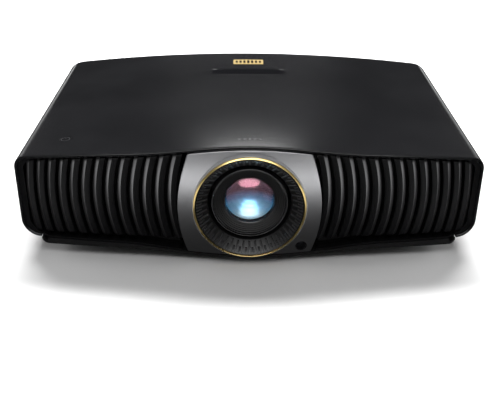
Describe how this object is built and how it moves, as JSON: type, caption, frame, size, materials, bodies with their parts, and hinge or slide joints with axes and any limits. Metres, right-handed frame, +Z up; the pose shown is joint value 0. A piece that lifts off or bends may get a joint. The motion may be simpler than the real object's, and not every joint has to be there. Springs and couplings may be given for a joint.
{
  "type": "home projector",
  "caption": "Wide, low black home projector with louvred front wings, a gunmetal lens plate, a gold ring and a recessed, motor-driven lens that shifts, zooms and focuses.",
  "frame": {"origin": "on the surface that the projector stands on, at the middle of its overall box in X and Y", "axes": "+Z up, -Y towards the screen along the lens axis, +X to the right as seen from the front"},
  "size_m": [0.492, 0.356, 0.1355],
  "materials": {
    "casing_black": "fine-textured satin black moulding",
    "base_black": "matt black moulding",
    "gunmetal": "satin gunmetal, finely brushed",
    "gold": "polished gold-coloured anodising",
    "gloss_black": "high gloss, infrared-clear window",
    "light_guide": "translucent smoke grey",
    "glass": "coated optical glass",
    "alloy": "bare machined alloy",
    "steel": "plated steel",
    "grey_plastic": "dark grey glass-filled moulding",
    "circuit_board": "green solder mask with parts",
    "phosphor": "phosphor coat on a metal disc",
    "rubber": "black rubber, matt"
  },
  "bodies": {
    "casing": {"top_cover": "casing_black", "bottom_case": "base_black", "left_grille": "casing_black", "right_grille": "casing_black", "lens_plate": "gunmetal", "front_ir_window": "gloss_black", "badge_plate": "gold", "top_inlay": "gloss_black", "status_window": "light_guide", "lens_ring": "gold", "lens_funnel": "base_black", "optical_engine": "grey_plastic", "shift_motor_vertical": "steel", "shift_motor_horizontal": "steel", "mirror_chip_board": "circuit_board", "mirror_chip_heatsink": "alloy", "laser_module": "alloy", "laser_heatsink": "alloy", "phosphor_motor": "steel", "intake_fan_frame": "base_black", "exhaust_fan_frame": "base_black", "power_supply": "circuit_board", "main_board": "circuit_board", "rear_panel": "casing_black", "hdmi_socket_1": "steel", "hdmi_socket_2": "steel", "usb_socket": "steel", "lan_socket": "steel", "serial_socket": "steel", "ac_inlet": "base_black", "rear_ir_window": "gloss_black"},
    "power_button": {"power_button": "casing_black"},
    "lens_shift_vertical": {"shift_frame_vertical": "alloy"},
    "lens_shift_horizontal": {"shift_frame_horizontal": "alloy", "lens_barrel": "base_black", "focus_motor": "steel", "zoom_motor": "steel"},
    "focus_ring": {"focus_ring": "grey_plastic"},
    "focus_cell": {"focus_cell": "casing_black", "front_glass": "glass"},
    "zoom_ring": {"zoom_ring": "grey_plastic"},
    "zoom_cell": {"zoom_cell": "alloy", "zoom_glass": "glass"},
    "phosphor_wheel": {"phosphor_wheel": "phosphor"},
    "intake_fan_rotor": {"intake_fan_rotor": "grey_plastic"},
    "exhaust_fan_rotor": {"exhaust_fan_rotor": "grey_plastic"},
    "key_ok": {"key_ok": "rubber"},
    "key_up": {"key_up": "rubber"},
    "key_down": {"key_down": "rubber"},
    "key_left": {"key_left": "rubber"},
    "key_right": {"key_right": "rubber"},
    "foot_stud_front_left": {"foot_stud_front_left": "steel"},
    "foot_knob_front_left": {"foot_knob_front_left": "rubber"},
    "foot_stud_front_right": {"foot_stud_front_right": "steel"},
    "foot_knob_front_right": {"foot_knob_front_right": "rubber"},
    "foot_stud_rear_left": {"foot_stud_rear_left": "steel"},
    "foot_knob_rear_left": {"foot_knob_rear_left": "rubber"},
    "foot_stud_rear_right": {"foot_stud_rear_right": "steel"},
    "foot_knob_rear_right": {"foot_knob_rear_right": "rubber"}
  },
  "joints": [
    {"name": "lens_shift_vertical_slide", "type": "slide", "parent": "casing", "child": "lens_shift_vertical", "axis": [0, 0, 1], "range_m": [-0.003, 0.003]},
    {"name": "lens_shift_horizontal_slide", "type": "slide", "parent": "lens_shift_vertical", "child": "lens_shift_horizontal", "axis": [1, 0, 0], "range_m": [-0.0022, 0.0022]},
    {"name": "focus_ring_turn", "type": "hinge", "parent": "lens_shift_horizontal", "child": "focus_ring", "pos_m": [0, -0.085, 0.0675], "axis": [0, 1, 0], "range_deg": [-60, 60]},
    {"name": "focus_travel", "type": "slide", "parent": "lens_shift_horizontal", "child": "focus_cell", "axis": [0, 1, 0], "range_m": [-0.0015, 0.0015]},
    {"name": "zoom_ring_turn", "type": "hinge", "parent": "lens_shift_horizontal", "child": "zoom_ring", "pos_m": [0, -0.053, 0.0675], "axis": [0, 1, 0], "range_deg": [-70, 70]},
    {"name": "zoom_travel", "type": "slide", "parent": "lens_shift_horizontal", "child": "zoom_cell", "axis": [0, 1, 0], "range_m": [-0.006, 0.006]},
    {"name": "phosphor_wheel_spin", "type": "hinge", "parent": "casing", "child": "phosphor_wheel", "pos_m": [0.0698, -0.034, 0.062], "axis": [1, 0, 0], "continuous": true},
    {"name": "intake_fan_spin", "type": "hinge", "parent": "casing", "child": "intake_fan_rotor", "pos_m": [0.172, -0.0885, 0.062], "axis": [0, 1, 0], "continuous": true},
    {"name": "exhaust_fan_spin", "type": "hinge", "parent": "casing", "child": "exhaust_fan_rotor", "pos_m": [-0.172, -0.0885, 0.062], "axis": [0, 1, 0], "continuous": true},
    {"name": "power_button_press", "type": "slide", "parent": "casing", "child": "power_button", "axis": [0.0867, 0, -0.9962], "range_m": [0, 0.0008], "stiffness_N_per_m": 800, "springref_m": -0.0002},
    {"name": "key_ok_press", "type": "slide", "parent": "casing", "child": "key_ok", "axis": [0, -1, 0], "range_m": [0, 0.0008], "stiffness_N_per_m": 600, "springref_m": -0.0002},
    {"name": "key_up_press", "type": "slide", "parent": "casing", "child": "key_up", "axis": [0, -1, 0], "range_m": [0, 0.0008], "stiffness_N_per_m": 600, "springref_m": -0.0002},
    {"name": "key_down_press", "type": "slide", "parent": "casing", "child": "key_down", "axis": [0, -1, 0], "range_m": [0, 0.0008], "stiffness_N_per_m": 600, "springref_m": -0.0002},
    {"name": "key_left_press", "type": "slide", "parent": "casing", "child": "key_left", "axis": [0, -1, 0], "range_m": [0, 0.0008], "stiffness_N_per_m": 600, "springref_m": -0.0002},
    {"name": "key_right_press", "type": "slide", "parent": "casing", "child": "key_right", "axis": [0, -1, 0], "range_m": [0, 0.0008], "stiffness_N_per_m": 600, "springref_m": -0.0002},
    {"name": "foot_travel_front_left", "type": "slide", "parent": "casing", "child": "foot_stud_front_left", "axis": [0, 0, -1], "range_m": [0, 0.012]},
    {"name": "foot_turn_front_left", "type": "hinge", "parent": "foot_stud_front_left", "child": "foot_knob_front_left", "pos_m": [-0.19, -0.112, 0.004], "axis": [0, 0, -1], "range_deg": [0, 2880]},
    {"name": "foot_travel_front_right", "type": "slide", "parent": "casing", "child": "foot_stud_front_right", "axis": [0, 0, -1], "range_m": [0, 0.012]},
    {"name": "foot_turn_front_right", "type": "hinge", "parent": "foot_stud_front_right", "child": "foot_knob_front_right", "pos_m": [0.19, -0.112, 0.004], "axis": [0, 0, -1], "range_deg": [0, 2880]},
    {"name": "foot_travel_rear_left", "type": "slide", "parent": "casing", "child": "foot_stud_rear_left", "axis": [0, 0, -1], "range_m": [0, 0.012]},
    {"name": "foot_turn_rear_left", "type": "hinge", "parent": "foot_stud_rear_left", "child": "foot_knob_rear_left", "pos_m": [-0.19, 0.138, 0.004], "axis": [0, 0, -1], "range_deg": [0, 2880]},
    {"name": "foot_travel_rear_right", "type": "slide", "parent": "casing", "child": "foot_stud_rear_right", "axis": [0, 0, -1], "range_m": [0, 0.012]},
    {"name": "foot_turn_rear_right", "type": "hinge", "parent": "foot_stud_rear_right", "child": "foot_knob_rear_right", "pos_m": [0.19, 0.138, 0.004], "axis": [0, 0, -1], "range_deg": [0, 2880]}
  ],
  "couplings": [
    {"joint": "focus_ring_turn", "follows": "focus_travel", "rad_per_m": 698},
    {"joint": "zoom_ring_turn", "follows": "zoom_travel", "rad_per_m": 203.6},
    {"joint": "foot_turn_front_left", "follows": "foot_travel_front_left", "rad_per_m": 4188.7},
    {"joint": "foot_turn_front_right", "follows": "foot_travel_front_right", "rad_per_m": 4188.7},
    {"joint": "foot_turn_rear_left", "follows": "foot_travel_rear_left", "rad_per_m": 4188.7},
    {"joint": "foot_turn_rear_right", "follows": "foot_travel_rear_right", "rad_per_m": 4188.7}
  ]
}
